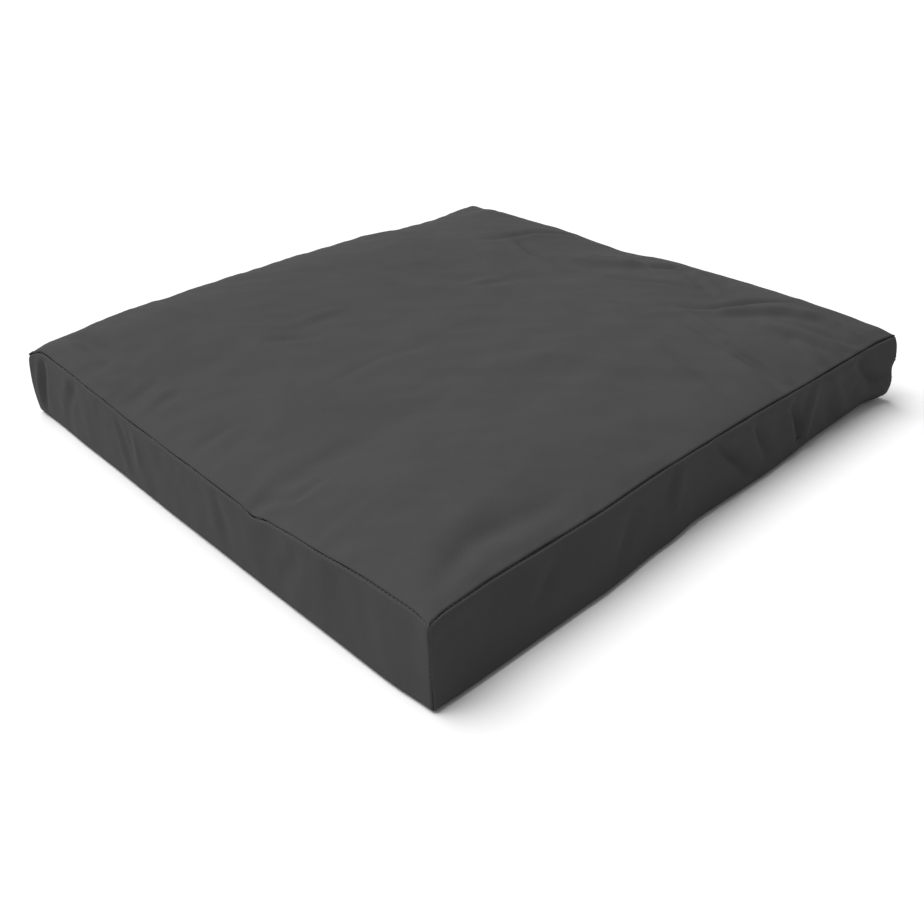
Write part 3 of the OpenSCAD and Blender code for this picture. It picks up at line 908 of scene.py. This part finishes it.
black_thread = spun("black_thread", (0.022, 0.022, 0.023), 2 * mm, 0.7)
threads = [
    ("stitching_top", "top_seam_thread", [round_the_pad(1)], True),
    ("stitching_base", "bottom_seam_thread", [round_the_pad(0)], True),
    ("stitching_corners", "corner_seam_threads", [down_the_corner(wall) for wall in range(4)], False),
]
for name, node, runs, closed in threads:
    piece = drawn(name, runs, thread_r, closed)
    piece.data.materials.append(black_thread)
    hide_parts(node)

# ---------------------------------------------------------------------------------------
# The zip: two woven tapes sewn behind the rear borders, each with a coil of nylon along its
# inner edge, shut all along; metal stops are crimped on at both ends.
# ---------------------------------------------------------------------------------------
wire_r = 0.275 * mm
coil_pitch = 1.25 * mm
turn_points = 12
# How far each coil reaches past the middle, between the other coil's turns.
coil_reach = 0.35 * mm
tape_columns = 200
tape_lines = 14
stitch_l = 2.8 * mm
stitch_pitch = 4 * mm
# One topstitch: shares of its length, and millimetres out from the cloth.
bow = [(0, -0.5), (0.12, 0.02), (0.5, 0.08), (0.88, 0.02), (1, -0.5)]
tape_cloth = woven("black_tape", (0.030, 0.030, 0.031), 0.5 * mm, 0.8, 0.10 * mm, 0.1)
nylon = spun("black_nylon", (0.013, 0.013, 0.014), 4 * mm, 0.38)


def cut_uvs(piece, width, length):
    """Gives a unit grid the UVs of a cut piece of the size given, in metres."""
    piece.data.uv_layers.active.name = "cut"
    uv = piece.data.uv_layers["cut"]
    for loop in piece.data.loops:
        p = piece.data.vertices[loop.vertex_index].co
        uv.data[loop.index].uv = (p.x * width + cut_origin.x, p.y * length + cut_origin.y)


for name, sign in (("upper", 1), ("lower", -1)):
    low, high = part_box("zip_tape_" + name)
    bpy.ops.object.select_all(action="DESELECT")
    bpy.ops.mesh.primitive_grid_add(x_subdivisions=tape_columns, y_subdivisions=tape_lines, size=1)
    tape = bpy.context.object
    tape.name = "woven_tape_" + name
    cut_uvs(tape, high.x - low.x, high.z - low.z)
    for vertex in tape.data.vertices:
        u, v = vertex.co.x + 0.5, vertex.co.y + 0.5
        vertex.co = (low.x + u * (high.x - low.x), high.y, low.z + v * (high.z - low.z))
    bpy.ops.object.mode_set(mode="EDIT")
    bpy.ops.mesh.select_all(action="SELECT")
    bpy.ops.mesh.normals_make_consistent(inside=False)
    bpy.ops.object.mode_set(mode="OBJECT")
    if tape.data.polygons[0].normal.y < 0:
        tape.data.flip_normals()
    bpy.ops.object.modifier_add(type="SOLIDIFY")
    tape.modifiers["Solidify"].thickness = high.y - low.y
    tape.modifiers["Solidify"].offset = -1
    bpy.ops.object.modifier_apply(modifier="Solidify")
    bpy.ops.object.shade_smooth_by_angle(angle=math.radians(40))
    tape.data.materials.append(tape_cloth)
    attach(tape, "pad")
    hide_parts("zip_tape_" + name)

    low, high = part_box("zip_coil_" + name)
    half_y = (high.y - low.y) / 2 - wire_r
    outer = high.z - zip_z if sign > 0 else zip_z - low.z
    middle = (outer - coil_reach) / 2
    half_z = (outer + coil_reach) / 2 - wire_r
    turns = int((high.x - low.x - 2 * wire_r) / coil_pitch) - 1
    start = low.x + wire_r + (coil_pitch / 2 if sign < 0 else 0)
    points = []
    for i in range(turns * turn_points + 1):
        angle = 2 * math.pi * i / turn_points
        flatter = math.copysign(abs(math.sin(angle)) ** 0.7, math.sin(angle))
        points.append(Vector((
            start + coil_pitch * i / turn_points,
            (low.y + high.y) / 2 + half_y * flatter,
            zip_z + sign * (middle + half_z * math.cos(angle)),
        )))
    coil = drawn("nylon_coil_" + name, [points], wire_r, False)
    coil.data.materials.append(nylon)
    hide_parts("zip_coil_" + name)

    low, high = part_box("zip_stitches_" + name)
    count = round((high.x - low.x - stitch_l) / stitch_pitch) + 1
    z = (low.z + high.z) / 2
    runs = []
    for i in range(count):
        x = low.x + i * stitch_pitch
        runs.append([Vector((x + a * stitch_l, low.y + b * mm, z)) for a, b in bow])
    topstitch = drawn("topstitch_" + name, runs, thread_r, False)
    topstitch.data.materials.append(black_thread)
    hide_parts("zip_stitches_" + name)

# ---------------------------------------------------------------------------------------
# The slider, its puller and the stops: zinc alloy, cast or stamped, with rounded edges and
# black paint. The slider runs along the chain and the puller swings on its bridge.
# ---------------------------------------------------------------------------------------
def painted(name, colour, roughness):
    """Black stoving paint with fine dust and rubbed patches."""
    metal = bpy.data.materials.new(name)
    metal.use_nodes = True
    nodes = metal.node_tree.nodes
    link = metal.node_tree.links.new
    shader = nodes["Principled BSDF"]
    shader.inputs["Coat Weight"].default_value = 0.3
    shader.inputs["Coat Roughness"].default_value = 0.25
    coordinates = nodes.new("ShaderNodeTexCoord")
    wear = nodes.new("ShaderNodeTexNoise")
    wear.inputs["Scale"].default_value = 500
    wear.inputs["Detail"].default_value = 6
    link(coordinates.outputs["Object"], wear.inputs["Vector"])
    ramp = nodes.new("ShaderNodeMix")
    ramp.data_type = "RGBA"
    ramp.inputs["A"].default_value = (*colour, 1)
    ramp.inputs["B"].default_value = (*[c * 2.2 for c in colour], 1)
    link(wear.outputs["Fac"], ramp.inputs["Factor"])
    link(ramp.outputs["Result"], shader.inputs["Base Color"])
    vary_roughness(metal, wear.outputs["Fac"], roughness, 0.12)
    emboss(metal, wear.outputs["Fac"], 0.3, 0.03 * mm)
    return metal


black_paint = painted("black_paint", (0.020, 0.020, 0.021), 0.42)
castings = [
    ("slider_casting", "zip_slider", "slider", 0.22 * mm),
    ("puller_tab", "zip_puller", "puller", 0.18 * mm),
    ("crimped_top_stops", "zip_top_stops", "pad", 0.2 * mm),
    ("crimped_end_stop", "zip_bottom_stop", "pad", 0.2 * mm),
]
for name, node, body, rounding in castings:
    casting = bpy.data.objects.new(name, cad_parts[node].data.copy())
    bpy.context.collection.objects.link(casting)
    casting.data.materials.clear()
    pick(casting)
    bpy.ops.object.mode_set(mode="EDIT")
    bpy.ops.mesh.select_all(action="SELECT")
    bpy.ops.mesh.remove_doubles(threshold=0.002 * mm)
    bpy.ops.mesh.dissolve_limited(angle_limit=math.radians(1))
    bpy.ops.object.mode_set(mode="OBJECT")
    bpy.ops.object.modifier_add(type="BEVEL")
    casting.modifiers["Bevel"].width = rounding
    casting.modifiers["Bevel"].segments = 2
    casting.modifiers["Bevel"].limit_method = "ANGLE"
    casting.modifiers["Bevel"].angle_limit = math.radians(35)
    bpy.ops.object.modifier_apply(modifier="Bevel")
    bpy.ops.object.shade_smooth_by_angle(angle=math.radians(40))
    casting.data.materials.append(black_paint)
    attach(casting, body)
    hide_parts(node)

# ---------------------------------------------------------------------------------------
# The care label: a blank tab of woven satin caught in the top seam of the left border. It
# lies on the border's cloth and lifts a little at its free end.
# ---------------------------------------------------------------------------------------
low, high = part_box("care_label")
bpy.ops.object.select_all(action="DESELECT")
bpy.ops.mesh.primitive_grid_add(x_subdivisions=14, y_subdivisions=20, size=1)
label = bpy.context.object
label.name = "satin_tab"
cut_uvs(label, high.y - low.y, high.z - low.z)
label_drop = 2.5 * mm
left_wall = walls.index("left")
top_z = seam_place(left_wall, 0.5 - (low.y + high.y) / 2 / pad_d, 1).z - label_drop
for vertex in label.data.vertices:
    u, v = vertex.co.x + 0.5, vertex.co.y + 0.5
    y = high.y + u * (low.y - high.y)
    z = top_z - (1 - v) * (high.z - low.z)
    found, spot, _, _ = borders["left"].ray_cast(Vector((-0.3, y, z)), to_right)
    lift = 0.5 + 1.2 * (1 - v) ** 2 + 0.25 * math.sin(5 * u + 3 * v)
    vertex.co = (spot.x - lift * mm, y, z)
if label.data.polygons[0].normal.x > 0:
    label.data.flip_normals()
bpy.ops.object.modifier_add(type="SOLIDIFY")
label.modifiers["Solidify"].thickness = high.x - low.x
label.modifiers["Solidify"].offset = -1
bpy.ops.object.modifier_apply(modifier="Solidify")
bpy.ops.object.shade_smooth_by_angle(angle=math.radians(50))
satin = woven("blank_satin", (0.62, 0.61, 0.57), 0.3 * mm, 0.45, 0.03 * mm, 0.2, 0.04)
label.data.materials.append(satin)
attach(label, "pad")
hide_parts("care_label")
